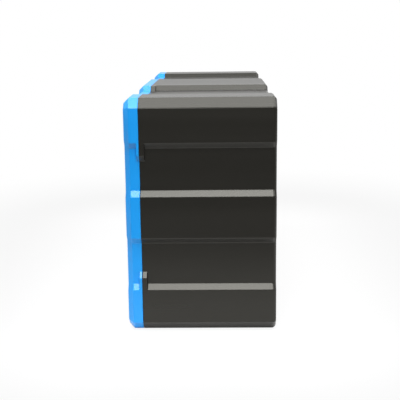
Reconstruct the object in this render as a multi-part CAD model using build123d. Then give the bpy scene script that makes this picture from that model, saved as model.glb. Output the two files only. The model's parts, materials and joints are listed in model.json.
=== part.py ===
from build123d import *
import os
from math import hypot, sqrt

# A wide parts cabinet: a black banded housing, a blue front bezel and four rows of clear drawers.
# Sizes are in millimetres. X runs across the cabinet, its front faces -Y and Z points up.
# The origin is under the middle of the cabinet, on the surface that it stands on.

# Overall size
WIDTH = 500.0
DEPTH = 160.0
HEIGHT = 252.0

# Housing walls, which step in and out in bands on all four sides
WALL = 2.5
SIDE_STEP = 5.0
TOP_STEP = 6.0
SLOPE = 6.0
SIDE_BAND = 45.0
TOP_RIDGE = 122.0
TOP_SHOULDER = 45.0
CORNER_CHAMFER = 10.0
BACK_ROUND = 4.5
BACK_FLANGE = 3.5
FLANGE_REACH = 10.0

# Joints between the housing panels
FIT = 0.2
LIP_LENGTH = 10.0
LIP_THICKNESS = 2.0
LIP_GAP = 0.6
LIP_ROOT = 2.2
LIP_SETBACK = 4.0
WELD = 0.5

# Front bezel
BEZEL_DEPTH = 16.0
FRONT_CHAMFER = 6.0
FRAME_FACE = 12.0
SLEEVE = 1.7

# Tabs that straddle the seam between the bezel and the housing, with a prong inside each
TAB_LENGTH = 13.4
TAB_ON_BEZEL = 3.0
TAB_ON_HOUSING = 5.5
PRONG_WIDTH = 6.0
PRONG_SHIFT = 2.4
PRONG_THICKNESS = 2.2

# Back panel with two keyholes, held between the grid and the housing's back flange
BACK_PANEL = 2.5
KEYHOLE_RADIUS = 5.0
KEYHOLE_SLOT = 5.0
KEYHOLE_LIFT = 12.0
KEYHOLE_DROP = 5.0

# Ribs inside the housing panels that hold the drawer grid
RIB = 2.0
SIDE_RIB_PITCH = 24.0
TOP_RIB_PITCH = 56.0
RIB_SETBACK = 10.0

# Drawer grid
SMALL_ROWS = 3
SMALL_COLUMNS = 6
LARGE_COLUMNS = 4
SMALL_BAY_HEIGHT = 42.0
PLATE = 2.0
GRID_ADVANCE = 3.0
TENON = 16.0
UPPER_TENON_PLACE = -25.0
LOWER_TENON_PLACE = 25.0

# Drawers
TRAY_WALL = 1.5
TRAY_ROUND = 3.0
TRAY_BACK_ROOM = 9.0
SIDE_GAP = 0.6
FLOOR_GAP = 0.3
HEAD_GAP = 3.7
CLOSED_GAP = 0.3
FRONT_THICKNESS = 2.5
FRONT_OVERLAP = 0.5
FRONT_MARGIN = 0.8
LABEL_HEIGHT = 13.0
LABEL_DEPTH = 0.8
LABEL_DROP = 5.0
LABEL_SIDE = 10.0

# Drawer pulls
SMALL_PULL_WIDTH = 36.0
LARGE_PULL_WIDTH = 54.0
SMALL_PULL_RISE = 9.0
LARGE_PULL_RISE = 24.0
PULL_THICKNESS = 2.2
PULL_ROUND = 7.0
PULL_LIP = 1.6
PULL_LIP_WIDTH = 2.2

# Drawer stops: a lug on the tray's back runs up against a bead under the plate above
STOP_PLACE = 22.0
STOP_DEPTH = 3.0
STOP_DROP = 2.2
STOP_LENGTH = 24.0
STOP_GAP = 0.5
LUG_LENGTH = 18.0
LUG_GAP = 0.8

# Partition in each large drawer and the upright ribs that hold it
PARTITION = 1.5
PARTITION_DROP = 5.0
GUIDE = 1.2
GUIDE_REACH = 2.0
GUIDE_DROP = 4.0

# Places that several pieces share
FRONT = -DEPTH / 2
BACK = DEPTH / 2
SEAM = FRONT + BEZEL_DEPTH
TAB_END = SEAM + TAB_ON_HOUSING
INNER_BACK = BACK - BACK_FLANGE - BACK_PANEL
TOP_SEAM = HEIGHT - CORNER_CHAMFER
BASE_SEAM = CORNER_CHAMFER
SIDE_TURNS = (
    SIDE_BAND / 2,
    SIDE_BAND / 2 + SLOPE,
    SIDE_BAND * 1.5 + SLOPE,
    SIDE_BAND * 1.5 + SLOPE * 2,
)
TOP_VALLEY = WIDTH / 2 - CORNER_CHAMFER - TOP_SHOULDER - SLOPE * 2 - TOP_RIDGE / 2
TOP_TURNS = (
    TOP_RIDGE / 2,
    TOP_RIDGE / 2 + SLOPE,
    TOP_RIDGE / 2 + SLOPE + TOP_VALLEY,
    TOP_RIDGE / 2 + SLOPE * 2 + TOP_VALLEY,
)
SIDE_RECESS_MIDDLE = (SIDE_TURNS[1] + SIDE_TURNS[2]) / 2
TOP_VALLEY_MIDDLE = (TOP_TURNS[1] + TOP_TURNS[2]) / 2
BAY_HALF = WIDTH / 2 - TOP_STEP - FRAME_FACE
BAY_BOTTOM = TOP_STEP + FRAME_FACE
BAY_TOP = HEIGHT - TOP_STEP - FRAME_FACE
GRID_HALF = BAY_HALF + PLATE
GRID_FRONT = SEAM - GRID_ADVANCE
GRID_MIDDLE = (GRID_FRONT + INNER_BACK) / 2
OPENING_MARGIN = FRONT_OVERLAP + FRONT_MARGIN
PLATE_BACK = GRID_FRONT - CLOSED_GAP
PLATE_FRONT = PLATE_BACK - FRONT_THICKNESS
TRAY_BACK = INNER_BACK - TRAY_BACK_ROOM
STOP_FRONT = GRID_FRONT + STOP_PLACE
STOP_BACK = STOP_FRONT + STOP_DEPTH
TRAVEL = TRAY_BACK - TRAY_WALL - STOP_BACK - STOP_GAP
LARGE_BAY_TOP = BAY_TOP - SMALL_ROWS * (SMALL_BAY_HEIGHT + PLATE)


def block(x0, x1, y0, y1, z0, z1):
    """A box between two corners."""
    middle = Pos((x0 + x1) / 2, (y0 + y1) / 2, (z0 + z1) / 2)
    return middle * Box(x1 - x0, y1 - y0, z1 - z0)


def section(points, y):
    """A flat face with this outline of (x, z) points, square to the depth at y."""
    return make_face(Polyline(*[(x, y, z) for x, z in points], close=True))


def prism(points, y0, y1):
    """A straight solid of this outline from y0 back to y1."""
    return extrude(section(points, y0), amount=y1 - y0, dir=(0, 1, 0))


def taper(points0, y0, points1, y1):
    """A solid that goes from one outline to another with flat faces."""
    return loft([section(points0, y0), section(points1, y1)], ruled=True)


def heading(start, end):
    """Unit direction from one outline point to the next."""
    dx = end[0] - start[0]
    dz = end[1] - start[1]
    length = hypot(dx, dz)
    return dx / length, dz / length


def inset(points, amount):
    """The outline moved inwards by one amount all round, corner for corner."""
    moved = []
    for i, point in enumerate(points):
        ax, az = heading(points[i - 1], point)
        bx, bz = heading(point, points[(i + 1) % len(points)])
        reach = amount / (1 + ax * bx + az * bz)
        moved.append((point[0] - reach * (az + bz), point[1] + reach * (ax + bx)))
    return moved


def bands(turns, step, inner_tab, outer_tab):
    """Places along a face and depths below it where its bands turn, from one end to the other."""
    a, b, c, d = turns
    half = [(a + inner_tab, 0), (b + inner_tab, step), (c - outer_tab, step), (d - outer_tab, 0)]
    return [(-place, depth) for place, depth in reversed(half)] + half


def outline(tab=0.0):
    """Outer section of the cabinet: the raised bands grow by the tab where the tabs are."""
    side = bands(SIDE_TURNS, SIDE_STEP, 0.0, tab)
    across = bands(TOP_TURNS, TOP_STEP, tab, 0.0)
    x, c, h = WIDTH / 2, CORNER_CHAMFER, HEIGHT
    right = [(x, c)] + [(x - depth, h / 2 + place) for place, depth in side] + [(x, h - c)]
    top = [(x - c, h)] + [(-place, h - depth) for place, depth in across] + [(c - x, h)]
    left = [(-px, h - pz) for px, pz in right]
    base = [(-px, h - pz) for px, pz in top]
    return right + top + left + base


PLAIN = outline()
TABBED = outline(TAB_LENGTH)


def housing_shell():
    """The whole housing as one banded tube, with tab pockets in front and a flange behind."""
    shell = prism(PLAIN, TAB_END, BACK)
    back_face = shell.faces().sort_by(Axis.Y)[-1]
    shell = fillet(back_face.edges(), BACK_ROUND)
    shell -= prism(inset(PLAIN, WALL), TAB_END, BACK - BACK_FLANGE)
    shell -= prism(inset(PLAIN, FLANGE_REACH), BACK - BACK_FLANGE, BACK)
    collar = prism(TABBED, SEAM, TAB_END)
    collar -= prism(inset(TABBED, WALL), SEAM, TAB_END - WALL)
    collar -= prism(inset(PLAIN, WALL), TAB_END - WALL, TAB_END)
    return shell + collar


def both_ways(middle, pitch):
    """Four places: two, a pitch apart, about the same distance each side of the centre."""
    near = (middle - pitch / 2, middle + pitch / 2)
    return near + tuple(-place for place in near)


def side_space():
    """The space that the right side panel takes out of the housing, mitred along the chamfered edges."""
    x = WIDTH / 2
    reach = SIDE_STEP + FLANGE_REACH + WELD
    mitre = reach * (sqrt(2) - 1)
    inner = [(x - reach, TOP_SEAM - mitre), (x - reach, BASE_SEAM + mitre)]
    return prism([(x, BASE_SEAM), (x, TOP_SEAM)] + inner, SEAM, BACK)


def side_panel(shell):
    """Right side wall with the ribs that hold the grid."""
    panel = shell & side_space()
    inside = WIDTH / 2 - SIDE_STEP - WALL
    for place in both_ways(SIDE_RECESS_MIDDLE, SIDE_RIB_PITCH):
        z = HEIGHT / 2 + place
        panel += block(GRID_HALF, inside + WELD, SEAM + RIB_SETBACK, INNER_BACK, z - RIB / 2, z + RIB / 2)
    return panel


def cover_lip():
    """Lip of the top cover that goes down inside the right side wall."""
    outer = WIDTH / 2 - WALL - LIP_GAP
    y0, y1 = TAB_END + LIP_SETBACK, INNER_BACK - LIP_SETBACK
    return block(outer - LIP_THICKNESS, outer, y0, y1, TOP_SEAM - LIP_LENGTH, TOP_SEAM + LIP_ROOT)


def cover(shell):
    """Top of the housing with its chamfered edges, ribs and lips."""
    panel = shell & block(-WIDTH / 2, WIDTH / 2, SEAM, BACK, HEIGHT / 2, HEIGHT)
    panel -= side_space()
    panel -= mirror(side_space(), about=Plane.YZ)
    inside = HEIGHT - TOP_STEP - WALL
    grid_top = BAY_TOP + PLATE
    for x in both_ways(TOP_VALLEY_MIDDLE, TOP_RIB_PITCH):
        panel += block(x - RIB / 2, x + RIB / 2, SEAM + RIB_SETBACK, INNER_BACK, grid_top, inside + WELD)
    lip = cover_lip()
    return panel + lip + mirror(lip, about=Plane.YZ)


def upside_down(shape):
    """The shape turned over to the base, which is the top's mirror image."""
    return mirror(shape, about=Plane.XY.offset(HEIGHT / 2))


def back_panel():
    """Flat back wall with two keyholes: a round entry and a narrow slot above it."""
    y0, y1 = INNER_BACK, INNER_BACK + BACK_PANEL
    panel = prism(inset(PLAIN, WALL + FIT), y0, y1)
    for x, z in keyhole_places():
        entry = Pos(x, (y0 + y1) / 2, z) * Rot(90, 0, 0) * Cylinder(KEYHOLE_RADIUS, BACK_PANEL)
        slot_end = Pos(0, 0, KEYHOLE_LIFT) * Pos(x, (y0 + y1) / 2, z) * Rot(90, 0, 0)
        slot = block(x - KEYHOLE_SLOT / 2, x + KEYHOLE_SLOT / 2, y0, y1, z, z + KEYHOLE_LIFT)
        panel -= entry + slot + slot_end * Cylinder(KEYHOLE_SLOT / 2, BACK_PANEL)
    return panel


def keyhole_places():
    """Centres (x, z) of the round entries, behind the outer bays of the top row."""
    first, last = small_bays()[0], small_bays()[SMALL_COLUMNS - 1]
    z = (first[2] + first[3]) / 2 - KEYHOLE_DROP
    return [((bay[0] + bay[1]) / 2, z) for bay in (first, last)]


def front_bezel():
    """Hollow frame round the drawers, with the bezel's share of the tabs and a prong in each."""
    skin = WALL * (sqrt(2) - 1)
    shoulder = FRONT + FRONT_CHAMFER
    frame = taper(inset(PLAIN, FRONT_CHAMFER), FRONT, PLAIN, shoulder) + prism(PLAIN, shoulder, SEAM)
    x = BAY_HALF + OPENING_MARGIN
    z0, z1 = BAY_BOTTOM - OPENING_MARGIN, BAY_TOP + OPENING_MARGIN
    sleeve = block(-x - SLEEVE, x + SLEEVE, FRONT, SEAM, z0 - SLEEVE, z1 + SLEEVE)
    hollow = taper(inset(PLAIN, FRONT_CHAMFER + skin), FRONT + WALL, inset(PLAIN, WALL), shoulder + skin)
    hollow += prism(inset(PLAIN, WALL), shoulder + skin, SEAM)
    frame -= hollow - sleeve
    frame -= block(-x, x, FRONT, SEAM, z0, z1)
    tab_front = SEAM - TAB_ON_BEZEL
    frame += prism(TABBED, tab_front, SEAM) - prism(inset(PLAIN, WALL), tab_front, SEAM)
    for prong in prongs():
        frame += prong
    return frame


def prongs():
    """Short prongs that enter the pockets of the housing's tabs, on all four sides."""
    y0, y1 = SEAM - WELD, TAB_END - WALL - FIT
    half = PRONG_WIDTH / 2
    reach = TAB_LENGTH / 2 + PRONG_SHIFT
    level = WALL + FIT
    root = level + PRONG_THICKNESS
    x = WIDTH / 2
    shapes = []
    for place in (SIDE_TURNS[3] - reach, reach - SIDE_TURNS[3]):
        z = HEIGHT / 2 + place
        shapes.append(block(x - root, x - level, y0, y1, z - half, z + half))
        shapes.append(block(level - x, root - x, y0, y1, z - half, z + half))
    for place in (TOP_TURNS[0] + reach, -TOP_TURNS[0] - reach):
        shapes.append(block(place - half, place + half, y0, y1, HEIGHT - root, HEIGHT - level))
        shapes.append(block(place - half, place + half, y0, y1, level, root))
    return shapes


def row_bays(columns, z0, z1):
    """Clear bays (x0, x1, z0, z1) of one row, from left to right."""
    pitch = (2 * BAY_HALF + PLATE) / columns
    lefts = [-BAY_HALF + i * pitch for i in range(columns)]
    return [(x, x + pitch - PLATE, z0, z1) for x in lefts]


def shelf_levels():
    """Undersides of the shelves, from the top one down."""
    return [BAY_TOP - (i + 1) * (SMALL_BAY_HEIGHT + PLATE) for i in range(SMALL_ROWS)]


def small_bays():
    """Bays of the small drawers, row by row from the top."""
    bays = []
    for level in shelf_levels():
        bays += row_bays(SMALL_COLUMNS, level + PLATE, level + PLATE + SMALL_BAY_HEIGHT)
    return bays


def large_bays():
    """Bays of the large drawers in the bottom row."""
    return row_bays(LARGE_COLUMNS, BAY_BOTTOM, LARGE_BAY_TOP)


def divider_places(columns):
    """Middles of the upright dividers between the bays of a row."""
    return [bay[1] + PLATE / 2 for bay in row_bays(columns, 0, 1)[:-1]]


def stops(bays):
    """Beads under the plate above these bays, one to stop each drawer."""
    shapes = []
    for x0, x1, z0, z1 in bays:
        x = (x0 + x1) / 2
        shapes.append(
            block(x - STOP_LENGTH / 2, x + STOP_LENGTH / 2, STOP_FRONT, STOP_BACK, z1 - STOP_DROP, z1)
        )
    return shapes


def tenon(x, y, z0, z1, gap=0.0):
    """Tenon of an upright divider, or with a gap the slot that it goes through."""
    across, along = PLATE / 2 + gap, TENON / 2 + gap
    return block(x - across, x + across, y - along, y + along, z0, z1)


def deck(z0, bays_below, columns, place):
    """Top or bottom plate of the grid, with slots for the dividers' tenons."""
    plate = block(-GRID_HALF, GRID_HALF, SEAM, INNER_BACK, z0, z0 + PLATE)
    for x in divider_places(columns):
        plate -= tenon(x, place, z0, z0 + PLATE, FIT)
    for bead in stops(bays_below):
        plate += bead
    return plate


def end_tenons(x0, x1, z, gap=0.0):
    """The two tenons at one end of a shelf, or with a gap the slots for them."""
    shapes = []
    for y in (UPPER_TENON_PLACE, LOWER_TENON_PLACE):
        y0, y1 = y - TENON / 2 - gap, y + TENON / 2 + gap
        shapes.append(block(x0, x1, y0, y1, z - gap, z + PLATE + gap))
    return shapes


def end_plate():
    """Right end of the grid, with slots for the shelves' tenons."""
    plate = block(BAY_HALF, GRID_HALF, SEAM, INNER_BACK, BAY_BOTTOM, BAY_TOP)
    for level in shelf_levels():
        for slot in end_tenons(BAY_HALF, GRID_HALF, level, FIT):
            plate -= slot
    return plate


def shelf(index):
    """One shelf with end tenons and stop beads. The lowest takes tenons, the others are halved."""
    z = shelf_levels()[index]
    plate = block(-BAY_HALF, BAY_HALF, GRID_FRONT, INNER_BACK, z, z + PLATE)
    for end in (-1, 1):
        x0, x1 = sorted((end * (BAY_HALF - WELD), end * GRID_HALF))
        for shape in end_tenons(x0, x1, z):
            plate += shape
    lowest = index == SMALL_ROWS - 1
    for x in divider_places(SMALL_COLUMNS):
        if lowest:
            plate -= tenon(x, UPPER_TENON_PLACE, z, z + PLATE, FIT)
        else:
            across = PLATE / 2 + FIT
            plate -= block(x - across, x + across, GRID_MIDDLE, INNER_BACK, z, z + PLATE)
    if lowest:
        for x in divider_places(LARGE_COLUMNS):
            plate -= tenon(x, LOWER_TENON_PLACE, z, z + PLATE, FIT)
    below = large_bays() if lowest else small_bays()[(index + 1) * SMALL_COLUMNS:(index + 2) * SMALL_COLUMNS]
    for bead in stops(below):
        plate += bead
    return plate


def upper_divider(x):
    """Tall divider through all the small rows, halved over the shelves that it crosses."""
    foot = shelf_levels()[-1] + PLATE
    plate = block(x - PLATE / 2, x + PLATE / 2, GRID_FRONT, INNER_BACK, foot, BAY_TOP)
    for level in shelf_levels()[:-1]:
        z0, z1 = level - FIT, level + PLATE + FIT
        plate -= block(x - PLATE / 2, x + PLATE / 2, GRID_FRONT, GRID_MIDDLE + FIT, z0, z1)
    plate += tenon(x, UPPER_TENON_PLACE, foot - PLATE, foot)
    return plate + tenon(x, UPPER_TENON_PLACE, BAY_TOP, BAY_TOP + PLATE)


def lower_divider(x):
    """Divider between two large bays."""
    plate = block(x - PLATE / 2, x + PLATE / 2, GRID_FRONT, INNER_BACK, BAY_BOTTOM, LARGE_BAY_TOP)
    plate += tenon(x, LOWER_TENON_PLACE, BAY_BOTTOM - PLATE, BAY_BOTTOM)
    return plate + tenon(x, LOWER_TENON_PLACE, LARGE_BAY_TOP, LARGE_BAY_TOP + PLATE)


def rounded_bin(x0, x1, y0, y1, z0, z1, radius):
    """A box with its long bottom edges, back uprights and back bottom edge rounded."""
    shape = block(x0, x1, y0, y1, z0, z1)
    edges = shape.edges()
    long_bottom = edges.filter_by(Axis.Y).group_by(Axis.Z)[0]
    uprights = edges.filter_by(Axis.Z).group_by(Axis.Y)[-1]
    heel = edges.filter_by(Axis.X).group_by(Axis.Y)[-1].group_by(Axis.Z)[0]
    return fillet(long_bottom + uprights + heel, radius)


def tongue(x, width, front, z0, z1, radius):
    """A slab with rounded front corners, rooted in the drawer's front behind the label recess."""
    root = PLATE_FRONT + LABEL_DEPTH + WELD
    slab = block(x - width / 2, x + width / 2, front, root, z0, z1)
    corners = slab.edges().filter_by(Axis.Z).group_by(Axis.Y)[0]
    return fillet(corners, radius)


def pull(x, z, width):
    """Finger pull: a tongue with a lip under its front and sides."""
    rim = PULL_LIP_WIDTH
    slab = tongue(x, width, FRONT, z - PULL_LIP, z + PULL_THICKNESS, PULL_ROUND)
    return slab - tongue(x, width - rim * 2, FRONT + rim, z - PULL_LIP, z, PULL_ROUND - rim)


def guides(left, right, floor, rim):
    """Pairs of upright ribs on both walls, with room for a partition between them."""
    y = partition_place()
    step = PARTITION / 2 + FIT + GUIDE / 2
    shapes = []
    for middle in (y - step, y + step):
        y0, y1 = middle - GUIDE / 2, middle + GUIDE / 2
        shapes.append(block(left - WELD, left + GUIDE_REACH, y0, y1, floor - WELD, rim - GUIDE_DROP))
        shapes.append(block(right - GUIDE_REACH, right + WELD, y0, y1, floor - WELD, rim - GUIDE_DROP))
    return shapes


def partition_place():
    """Where a partition stands: half way along the tray's inside."""
    return (PLATE_BACK + TRAY_BACK - TRAY_WALL) / 2


def tray_inside(bay):
    """Clear inside of a bay's drawer as (x0, x1, y0, y1, z0, z1)."""
    x0, x1, z0, z1 = bay
    side = SIDE_GAP + TRAY_WALL
    floor = z0 + FLOOR_GAP + TRAY_WALL
    return (x0 + side, x1 - side, PLATE_BACK, TRAY_BACK - TRAY_WALL, floor, z1 - HEAD_GAP)


def drawer(bay, pull_width, pull_rise):
    """One clear drawer: a rounded tray, an overlapping front with a label recess, a pull and a stop lug."""
    x0, x1, z0, z1 = bay
    middle = (x0 + x1) / 2
    left, right, front, back, floor, rim = tray_inside(bay)
    tray = rounded_bin(
        left - TRAY_WALL, right + TRAY_WALL, front, back + TRAY_WALL, floor - TRAY_WALL, rim, TRAY_ROUND
    )
    tray -= rounded_bin(left, right, front, back, floor, rim, TRAY_ROUND - TRAY_WALL)
    over = FRONT_OVERLAP
    plate = block(x0 - over, x1 + over, PLATE_FRONT, PLATE_BACK, z0 - over, z1 + over)
    label_top = z1 - LABEL_DROP
    plate -= block(
        x0 + LABEL_SIDE, x1 - LABEL_SIDE, PLATE_FRONT, PLATE_FRONT + LABEL_DEPTH,
        label_top - LABEL_HEIGHT, label_top,
    )
    tray += plate
    tray += pull(middle, z0 + pull_rise, pull_width)
    for rib in guides(left, right, floor, rim):
        tray += rib
    lug = block(
        middle - LUG_LENGTH / 2, middle + LUG_LENGTH / 2, back, back + TRAY_WALL, rim - WELD, z1 - LUG_GAP
    )
    return tray + lug


def partition(bay):
    """Loose wall between the guides of a large drawer, standing on its floor."""
    left, right, front, back, floor, rim = tray_inside(bay)
    y = partition_place()
    wall = block(
        left + FIT, right - FIT, y - PARTITION / 2, y + PARTITION / 2, floor, rim - PARTITION_DROP
    )
    corners = wall.edges().filter_by(Axis.Y).group_by(Axis.Z)[0]
    return fillet(corners, TRAY_ROUND)


def housing_pieces():
    """The outer panels and the bezel."""
    shell = housing_shell()
    right = side_panel(shell)
    top = cover(shell)
    return {
        "right_side_panel": right,
        "left_side_panel": mirror(right, about=Plane.YZ),
        "top_cover": top,
        "base_pan": upside_down(top),
        "back_panel": back_panel(),
        "front_bezel": front_bezel(),
    }


def grid_pieces():
    """The plates that carry and part the drawers."""
    right = end_plate()
    pieces = {
        "top_deck": deck(BAY_TOP, small_bays()[:SMALL_COLUMNS], SMALL_COLUMNS, UPPER_TENON_PLACE),
        "bottom_deck": deck(BAY_BOTTOM - PLATE, [], LARGE_COLUMNS, LOWER_TENON_PLACE),
        "right_end_plate": right,
        "left_end_plate": mirror(right, about=Plane.YZ),
    }
    for index in range(SMALL_ROWS):
        pieces[f"shelf_{index + 1}"] = shelf(index)
    for index, x in enumerate(divider_places(SMALL_COLUMNS)):
        pieces[f"upper_divider_{index + 1}"] = upper_divider(x)
    for index, x in enumerate(divider_places(LARGE_COLUMNS)):
        pieces[f"lower_divider_{index + 1}"] = lower_divider(x)
    return pieces


def drawer_pieces():
    """The drawers, counted by row and column from the top left, and the large ones' partitions."""
    pieces = {}
    for index, bay in enumerate(small_bays()):
        row, column = divmod(index, SMALL_COLUMNS)
        pieces[f"small_drawer_{row + 1}_{column + 1}"] = drawer(bay, SMALL_PULL_WIDTH, SMALL_PULL_RISE)
    for index, bay in enumerate(large_bays()):
        pieces[f"large_drawer_{index + 1}"] = drawer(bay, LARGE_PULL_WIDTH, LARGE_PULL_RISE)
        pieces[f"partition_{index + 1}"] = partition(bay)
    return pieces


def main():
    os.makedirs("parts", exist_ok=True)
    for pieces in (housing_pieces(), grid_pieces(), drawer_pieces()):
        for name, shape in pieces.items():
            export_step(shape, f"parts/{name}.step")


if __name__ == "__main__":
    main()
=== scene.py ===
import json
from math import radians

import bpy
from mathutils import Euler, Matrix, Vector


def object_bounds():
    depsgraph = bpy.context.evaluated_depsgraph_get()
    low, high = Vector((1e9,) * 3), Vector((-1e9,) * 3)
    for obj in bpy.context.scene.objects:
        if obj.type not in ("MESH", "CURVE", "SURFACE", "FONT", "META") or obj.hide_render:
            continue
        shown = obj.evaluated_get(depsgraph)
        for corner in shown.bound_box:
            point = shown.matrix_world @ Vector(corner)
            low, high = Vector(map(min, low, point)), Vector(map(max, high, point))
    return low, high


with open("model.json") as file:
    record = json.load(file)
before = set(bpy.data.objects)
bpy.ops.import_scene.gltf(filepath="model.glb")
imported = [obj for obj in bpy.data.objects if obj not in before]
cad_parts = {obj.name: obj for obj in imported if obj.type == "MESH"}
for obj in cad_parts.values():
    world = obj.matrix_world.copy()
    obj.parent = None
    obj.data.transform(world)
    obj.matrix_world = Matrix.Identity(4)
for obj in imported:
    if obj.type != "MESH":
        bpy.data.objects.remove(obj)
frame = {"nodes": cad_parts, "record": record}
cad_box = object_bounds()

# Sizes are in metres, angles in degrees, lamp powers in watts and colours in linear light.

# Camera: the photograph's view of the right side, from a little above, with its lens in millimetres
CAMERA_PLACE = (1.1215, 0.0215, 0.3252)
CAMERA_TURN = 91.469
CAMERA_TILT = 78.328
CAMERA_ROLL = -0.709
CAMERA_LENS = 76.34
CAMERA_SENSOR = 36.0

# Rounded edges: how wide they are on each kind of piece, and the angle from which an edge counts as sharp
HOUSING_EDGE = 0.0004
SIDE_EDGE = 0.0008
BEZEL_EDGE = 0.0007
GRID_EDGE = 0.0003
DRAWER_EDGE = 0.0004
EDGE_STEPS = 3
SHARP_ANGLE = 33.0
WELD_REACH = 0.00001
FACE_WEIGHT = 100

# Colours
BLACK_DEEP = (0.0095, 0.0089, 0.0072, 1)
BLACK_PALE = (0.0115, 0.0107, 0.0088, 1)
GRID_DEEP = (0.0100, 0.0100, 0.0100, 1)
GRID_PALE = (0.0150, 0.0150, 0.0150, 1)
BLUE_DEEP = (0.004, 0.266, 0.715, 1)
BLUE_PALE = (0.006, 0.284, 0.755, 1)
WARM_GLOSS = (1.0, 0.985, 0.91, 1)
CLEAR_TINT = (0.90, 0.945, 0.965, 1)
# Painted pool of light on the floor: its colour by the object and far from it, standing in for bounce
# light that falls off
FLOOR_PAINTED_LIT = (0.80, 0.80, 0.80, 1)
FLOOR_PAINTED_DIM = (0.12, 0.12, 0.12, 1)
WHITE = (1, 1, 1, 1)

# Moulded plastics: their roughness, how far it drifts along the flow streaks, and how deep their waves are
HOUSING_ROUGHNESS = 0.30
HOUSING_DRIFT = 0.03
HOUSING_WAVE = 0.0004
BEZEL_ROUGHNESS = 0.30
BEZEL_DRIFT = 0.01
BEZEL_WAVE = 0.0003
GRID_ROUGHNESS = 0.42
GRID_DRIFT = 0.03
GRID_WAVE = 0.0003

# Marks on the moulded plastics: repeats a metre, and octaves of detail
GRAIN_REPEATS = 1500.0
GRAIN_DETAIL = 2.0
GRAIN_DEPTH = 0.00002
WAVE_REPEATS = 14.0
WAVE_DETAIL = 1.0
STREAK_REPEATS = 9.0
STREAK_DETAIL = 4.0
STREAK_STRETCH = (1.0, 0.08, 6.0)
NOISE_MIDDLE = (0.3, 0.7)

# Clear plastic of the drawers and their partitions
CLEAR_SHARE = 0.97
CLEAR_INDEX = 1.47
DRAWER_ROUGHNESS = 0.06
PARTITION_ROUGHNESS = 0.10
HAZE_DRIFT = 0.04
HAZE_REPEATS = 160.0
HAZE_DETAIL = 2.0
RIPPLE_REPEATS = 45.0
RIPPLE_DETAIL = 1.0
RIPPLE_DEPTH = 0.0002

# Floor: its white share where the camera looks rises away from the object, and its colour carries a
# painted pool of bounce light that falls off away from the object
FLOOR_HALF = 3.0
FLOOR_LEVEL = cad_box[0][2] - 0.0002
FLOOR_ROUGHNESS = 0.9
FLOOR_WHITE_SHARE = 0.85
WHITE_FROM = 0.6
BOUNCE_REACH = 0.30

# What reflections show: a painted pale pool of light on the floor, a painted shadow where the object
# stands, and a backdrop behind it
POOL_IN_GLOSS = 1.0
POOL_REACH = 0.42
POOL_SHARES = (1.0, 0.15, 1.0)
FOOT_SHADOW_IN_GLOSS = 0.1
FOOT_SHADOW_REACH = 0.012
BACKDROP_IN_GLOSS = 0.75
ROOM_IN_GLOSS = 0.05
AMBIENT = 0.3


def new_material(name):
    """An empty node material, with its tree, surface shader and output joined."""
    material = bpy.data.materials.new(name)
    material.use_nodes = True
    tree = material.node_tree
    tree.nodes.clear()
    shader = tree.nodes.new("ShaderNodeBsdfPrincipled")
    output = tree.nodes.new("ShaderNodeOutputMaterial")
    tree.links.new(shader.outputs["BSDF"], output.inputs["Surface"])
    return material, tree, shader


def place(tree, stretch=(1, 1, 1)):
    """Coordinates of the object itself, stretched along its axes."""
    coordinate = tree.nodes.new("ShaderNodeTexCoord")
    mapping = tree.nodes.new("ShaderNodeMapping")
    mapping.inputs["Scale"].default_value = stretch
    tree.links.new(coordinate.outputs["Object"], mapping.inputs["Vector"])
    return mapping.outputs["Vector"]


def noise(tree, vector, repeats, detail):
    """Smooth random marks between 0 and 1."""
    texture = tree.nodes.new("ShaderNodeTexNoise")
    texture.inputs["Scale"].default_value = repeats
    texture.inputs["Detail"].default_value = detail
    tree.links.new(vector, texture.inputs["Vector"])
    return texture.outputs["Fac"]


def spread_over(tree, value, reach, levels):
    """A value eased from one level to another over its reach."""
    spread = tree.nodes.new("ShaderNodeMapRange")
    spread.interpolation_type = "SMOOTHSTEP"
    spread.inputs["From Min"].default_value = reach[0]
    spread.inputs["From Max"].default_value = reach[1]
    spread.inputs["To Min"].default_value = levels[0]
    spread.inputs["To Max"].default_value = levels[1]
    tree.links.new(value, spread.inputs["Value"])
    return spread.outputs["Result"]


def drifting(tree, value, middle, drift):
    """A level that drifts either side of its middle with a noise."""
    return spread_over(tree, value, NOISE_MIDDLE, (middle - drift, middle + drift))


def two_tones(tree, value, first, second):
    """A colour that goes from one tone to another with a value."""
    mix = tree.nodes.new("ShaderNodeMix")
    mix.data_type = "RGBA"
    colours = [socket for socket in mix.inputs if socket.type == "RGBA"]
    colours[0].default_value = first
    colours[1].default_value = second
    tree.links.new(value, mix.inputs["Factor"])
    return [socket for socket in mix.outputs if socket.type == "RGBA"][0]


def bump(tree, heights):
    """Normal with several layers of relief: pairs of a height value and its depth."""
    normal = None
    for height, depth in heights:
        layer = tree.nodes.new("ShaderNodeBump")
        layer.inputs["Distance"].default_value = depth
        tree.links.new(height, layer.inputs["Height"])
        if normal is not None:
            tree.links.new(normal, layer.inputs["Normal"])
        normal = layer.outputs["Normal"]
    return normal


def moulded_plastic(name, deep, pale, roughness, drift, wave_depth):
    """Opaque moulded plastic: a fine spark-eroded grain, slight sink waves and faint flow streaks."""
    material, tree, shader = new_material(name)
    still = place(tree)
    grain = noise(tree, still, GRAIN_REPEATS, GRAIN_DETAIL)
    wave = noise(tree, still, WAVE_REPEATS, WAVE_DETAIL)
    streak = noise(tree, place(tree, STREAK_STRETCH), STREAK_REPEATS, STREAK_DETAIL)
    shader.inputs["Specular Tint"].default_value = WARM_GLOSS
    tree.links.new(two_tones(tree, streak, deep, pale), shader.inputs["Base Color"])
    tree.links.new(drifting(tree, streak, roughness, drift), shader.inputs["Roughness"])
    relief = bump(tree, [(wave, wave_depth), (grain, GRAIN_DEPTH)])
    tree.links.new(relief, shader.inputs["Normal"])
    return material


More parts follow.
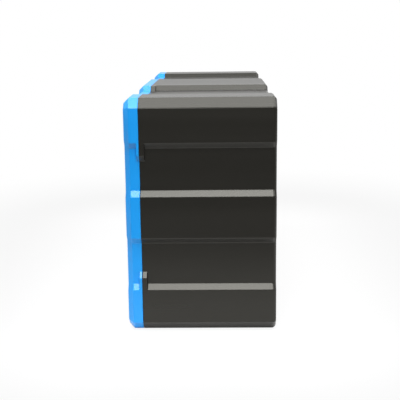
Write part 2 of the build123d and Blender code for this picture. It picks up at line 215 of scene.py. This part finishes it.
def clear_plastic(name, roughness):
    """See-through drawer plastic, slightly hazy, with a faint ripple."""
    material, tree, shader = new_material(name)
    shader.inputs["Base Color"].default_value = CLEAR_TINT
    shader.inputs["Transmission Weight"].default_value = CLEAR_SHARE
    shader.inputs["IOR"].default_value = CLEAR_INDEX
    still = place(tree)
    haze = noise(tree, still, HAZE_REPEATS, HAZE_DETAIL)
    tree.links.new(drifting(tree, haze, roughness, HAZE_DRIFT), shader.inputs["Roughness"])
    ripple = noise(tree, still, RIPPLE_REPEATS, RIPPLE_DETAIL)
    tree.links.new(bump(tree, [(ripple, RIPPLE_DEPTH)]), shader.inputs["Normal"])
    return material


def dress(node, material, edge):
    """Gives a CAD node its material and rounds its sharp edges."""
    shape = frame["nodes"][node]
    shape.data.materials.clear()
    shape.data.materials.append(material)
    weld = shape.modifiers.new("weld", "WELD")
    weld.merge_threshold = WELD_REACH
    rounding = shape.modifiers.new("rounding", "BEVEL")
    rounding.width = edge
    rounding.segments = EDGE_STEPS
    rounding.limit_method = "ANGLE"
    rounding.angle_limit = radians(SHARP_ANGLE)
    rounding.use_clamp_overlap = False
    rounding.loop_slide = False
    smooth = shape.modifiers.new("smooth", "WEIGHTED_NORMAL")
    smooth.mode = "FACE_AREA"
    smooth.weight = FACE_WEIGHT


def dress_cabinet():
    """Materials and rounded edges for every CAD node, by the record's material slots."""
    black = moulded_plastic(
        "housing_black", BLACK_DEEP, BLACK_PALE, HOUSING_ROUGHNESS, HOUSING_DRIFT, HOUSING_WAVE
    )
    blue = moulded_plastic("bezel_blue", BLUE_DEEP, BLUE_PALE, BEZEL_ROUGHNESS, BEZEL_DRIFT, BEZEL_WAVE)
    grid = moulded_plastic("grid_black", GRID_DEEP, GRID_PALE, GRID_ROUGHNESS, GRID_DRIFT, GRID_WAVE)
    finishes = {
        "housing_black": (black, HOUSING_EDGE),
        "bezel_blue": (blue, BEZEL_EDGE),
        "grid_black": (grid, GRID_EDGE),
        "drawer_clear": (clear_plastic("drawer_clear", DRAWER_ROUGHNESS), DRAWER_EDGE),
        "partition_clear": (clear_plastic("partition_clear", PARTITION_ROUGHNESS), DRAWER_EDGE),
    }
    for part in frame["record"]["subparts"]:
        material, edge = finishes[part["material_slot"]]
        if part["node"].endswith("side_panel"):
            edge = SIDE_EDGE
        dress(part["node"], material, edge)


def arithmetic(tree, operation, first, second):
    """One sum of two values, the second a socket or a number."""
    node = tree.nodes.new("ShaderNodeMath")
    node.operation = operation
    tree.links.new(first, node.inputs[0])
    if isinstance(second, float):
        node.inputs[1].default_value = second
    else:
        tree.links.new(second, node.inputs[1])
    return node.outputs[0]


def vector_step(tree, operation, first, second):
    """One sum of a vector socket and a fixed vector."""
    node = tree.nodes.new("ShaderNodeVectorMath")
    node.operation = operation
    tree.links.new(first, node.inputs[0])
    node.inputs[1].default_value = second
    return node.outputs["Vector"]


def blend(tree, factor, first, second):
    """Mix of two shaders."""
    mix = tree.nodes.new("ShaderNodeMixShader")
    tree.links.new(factor, mix.inputs[0])
    tree.links.new(first, mix.inputs[1])
    tree.links.new(second, mix.inputs[2])
    return mix.outputs["Shader"]


def share_of_white(tree, in_view, in_gloss):
    """Share of plain white where the camera looks, also through clear plastic, and in reflections."""
    path = tree.nodes.new("ShaderNodeLightPath")
    seen, seen_through = path.outputs["Is Camera Ray"], path.outputs["Is Transmission Ray"]
    looked_at = arithmetic(tree, "MAXIMUM", seen, seen_through)
    shown = arithmetic(tree, "MULTIPLY", looked_at, in_view)
    glossy = arithmetic(tree, "MULTIPLY", path.outputs["Is Glossy Ray"], in_gloss)
    return arithmetic(tree, "MAXIMUM", shown, glossy)


def distance_outside(tree, shares=(1, 1, 1)):
    """How far a place on the floor is from the object's sides, with a share for each axis."""
    geometry = tree.nodes.new("ShaderNodeNewGeometry")
    half = (Vector(cad_box[1]) - Vector(cad_box[0])) / 2
    outside = vector_step(tree, "ABSOLUTE", geometry.outputs["Position"], (0, 0, 0))
    outside = vector_step(tree, "SUBTRACT", outside, (half.x, half.y, 0))
    outside = vector_step(tree, "MAXIMUM", outside, (0, 0, 0))
    outside = vector_step(tree, "MULTIPLY", outside, shares)
    length = tree.nodes.new("ShaderNodeVectorMath")
    length.operation = "LENGTH"
    tree.links.new(outside, length.inputs[0])
    return length.outputs["Value"]


def floor_material():
    """Matt ground that looks white and keeps the object's shadow, with a painted pool of light in its
    colour and in its reflections, and a painted shadow in reflections where the object stands.
    """
    material, tree, shader = new_material("pale_floor")
    shader.inputs["Roughness"].default_value = FLOOR_ROUGHNESS
    shader.inputs["Specular IOR Level"].default_value = 0.0
    white = tree.nodes.new("ShaderNodeEmission")
    white.inputs["Color"].default_value = WHITE
    distance = distance_outside(tree)
    # Painted light in the floor's colour: pale by the object and dark further off
    painted_bounce_falloff = spread_over(tree, distance, (0.0, BOUNCE_REACH), (0.0, 1.0))
    tree.links.new(two_tones(tree, painted_bounce_falloff, FLOOR_PAINTED_LIT, FLOOR_PAINTED_DIM), shader.inputs["Base Color"])
    whiteness = spread_over(tree, distance, (0.0, WHITE_FROM), (FLOOR_WHITE_SHARE, 1.0))
    pool_distance = distance_outside(tree, POOL_SHARES)
    # Painted light in reflections: the floor glows white to glossy rays near the object, fading with
    # distance
    pool = spread_over(tree, pool_distance, (0.0, POOL_REACH), (POOL_IN_GLOSS, 0.0))
    # Painted shadow in reflections: the glow is dimmed under the object and just round its foot
    painted_foot_shadow = spread_over(tree, distance, (0.0, FOOT_SHADOW_REACH), (FOOT_SHADOW_IN_GLOSS, 1.0))
    share = share_of_white(tree, whiteness, arithmetic(tree, "MULTIPLY", pool, painted_foot_shadow))
    output = next(node for node in tree.nodes if node.type == "OUTPUT_MATERIAL")
    surface = blend(tree, share, shader.outputs["BSDF"], white.outputs["Emission"])
    tree.links.new(surface, output.inputs["Surface"])
    return material


def make_floor():
    """One wide square just under the object."""
    mesh = bpy.data.meshes.new("floor")
    ends = (-FLOOR_HALF, FLOOR_HALF)
    corners = [(x, y, FLOOR_LEVEL) for x in ends for y in ends]
    mesh.from_pydata(corners, [], [(0, 2, 3, 1)])
    mesh.materials.append(floor_material())
    floor = bpy.data.objects.new("floor", mesh)
    bpy.context.scene.collection.objects.link(floor)


def softbox(name, place_at, aim, width, length, watts, spread=180.0):
    """A flat soft lamp that faces a point, with a honeycomb where its spread is narrow."""
    lamp = bpy.data.lights.new(name, "AREA")
    lamp.shape = "RECTANGLE"
    lamp.size = width
    lamp.size_y = length
    lamp.energy = watts
    lamp.spread = radians(spread)
    holder = bpy.data.objects.new(name, lamp)
    holder.location = place_at
    holder.rotation_euler = (Vector(aim) - Vector(place_at)).to_track_quat("-Z", "Y").to_euler()
    bpy.context.scene.collection.objects.link(holder)


def hang_lamps():
    """Two soft lamps over the right side and the top, and gentle ones in front, behind and on the left."""
    softbox("key", (1.2, 0.0, 1.3), aim=(0.25, 0.0, 0.1), width=1.0, length=1.2, watts=9.6, spread=100.0)
    softbox("overhead", (0.35, 0.0, 1.35), aim=(0.35, 0.0, 0.0), width=0.8, length=1.2, watts=10.6)
    softbox("front", (0.0, -1.1, 1.5), aim=(0.0, -0.08, 0.12), width=1.4, length=0.7, watts=12.0)
    softbox("back", (0.0, 1.1, 1.5), aim=(0.0, 0.08, 0.12), width=1.4, length=0.7, watts=9.0)
    softbox("left", (-1.1, 0.0, 1.6), aim=(-0.25, 0.0, 0.12), width=0.7, length=1.0, watts=7.0)


def make_room():
    """A white room round the object, paler in reflections on the far side than behind the camera."""
    world = bpy.data.worlds.new("white_room")
    bpy.context.scene.world = world
    world.use_nodes = True
    tree = world.node_tree
    ambient = tree.nodes["Background"]
    ambient.inputs["Color"].default_value = WHITE
    ambient.inputs["Strength"].default_value = AMBIENT
    white = tree.nodes.new("ShaderNodeBackground")
    white.inputs["Color"].default_value = WHITE
    direction = tree.nodes.new("ShaderNodeTexCoord")
    parts = tree.nodes.new("ShaderNodeSeparateXYZ")
    tree.links.new(direction.outputs["Generated"], parts.inputs["Vector"])
    room = spread_over(tree, parts.outputs["X"], (-1.0, 1.0), (BACKDROP_IN_GLOSS, ROOM_IN_GLOSS))
    share = share_of_white(tree, 1.0, room)
    surface = blend(tree, share, ambient.outputs["Background"], white.outputs["Background"])
    tree.links.new(surface, tree.nodes["World Output"].inputs["Surface"])


def make_camera():
    """The camera that the photograph was taken with, as fitted to the object's corners."""
    lens = bpy.data.cameras.new("photo_view")
    lens.sensor_width = CAMERA_SENSOR
    lens.lens = CAMERA_LENS
    camera = bpy.data.objects.new("photo_view", lens)
    turn = Euler((radians(CAMERA_TILT), 0, radians(CAMERA_TURN))).to_matrix()
    roll = Matrix.Rotation(radians(CAMERA_ROLL), 3, "Z")
    camera.matrix_world = Matrix.Translation(CAMERA_PLACE) @ (turn @ roll).to_4x4()
    bpy.context.scene.collection.objects.link(camera)
    bpy.context.scene.camera = camera


dress_cabinet()
make_floor()
hang_lamps()
make_room()
make_camera()
bpy.context.scene.view_settings.view_transform = "Standard"
